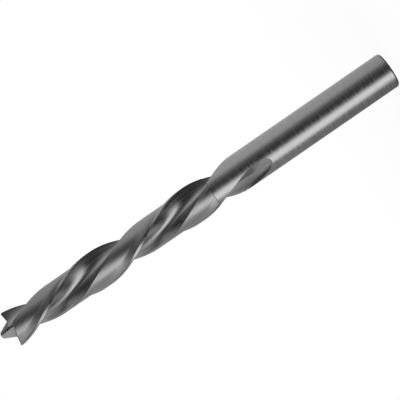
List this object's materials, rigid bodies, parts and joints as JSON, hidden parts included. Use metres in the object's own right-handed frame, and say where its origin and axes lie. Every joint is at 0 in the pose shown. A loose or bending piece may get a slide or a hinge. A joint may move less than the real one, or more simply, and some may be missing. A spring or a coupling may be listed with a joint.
{
  "type": "brad point drill bit",
  "caption": "Steel drill bit for wood with a centre point, spurs, helical flutes and a plain round shank.",
  "frame": {"origin": "centre of the shank's flat end face", "axes": "+Z along the bit's axis towards its centre point; the two lips lie along X at the height of the spurs"},
  "size_m": [0.01, 0.01, 0.12],
  "materials": {
    "steel": "bare ground steel, satin, with fine grinding lines"
  },
  "bodies": {
    "root": {"drill_bit": "steel"}
  },
  "joints": []
}
